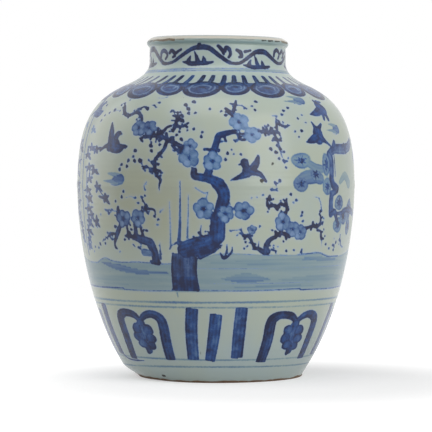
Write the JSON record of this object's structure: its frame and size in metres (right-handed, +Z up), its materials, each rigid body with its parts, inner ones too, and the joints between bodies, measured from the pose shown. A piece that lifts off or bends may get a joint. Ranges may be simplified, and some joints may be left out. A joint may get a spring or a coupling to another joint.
{
  "type": "porcelain jar",
  "caption": "Large wide-mouthed porcelain jar with full shoulder, upright neck, folded lip and cut foot ring, thrown in sections, luted with slip and glazed.",
  "frame": {"origin": "centre of the foot ring's underside, on the surface that the jar stands on", "axes": "+Z up along the wheel axis, -Y towards the viewer of the picture, +X to the viewer's right"},
  "size_m": [0.304, 0.304, 0.37],
  "materials": {
    "glazed_porcelain": "greyish white glaze over porcelain, painted in cobalt blue under the glaze, bare at the foot",
    "luting_slip": "fired porcelain slip, matt"
  },
  "bodies": {
    "root": {"neck_collar": "glazed_porcelain", "upper_body": "glazed_porcelain", "lower_body": "glazed_porcelain", "base_bowl": "glazed_porcelain", "neck_slip_seam": "luting_slip", "belly_slip_seam": "luting_slip", "base_slip_seam": "luting_slip"}
  },
  "joints": []
}
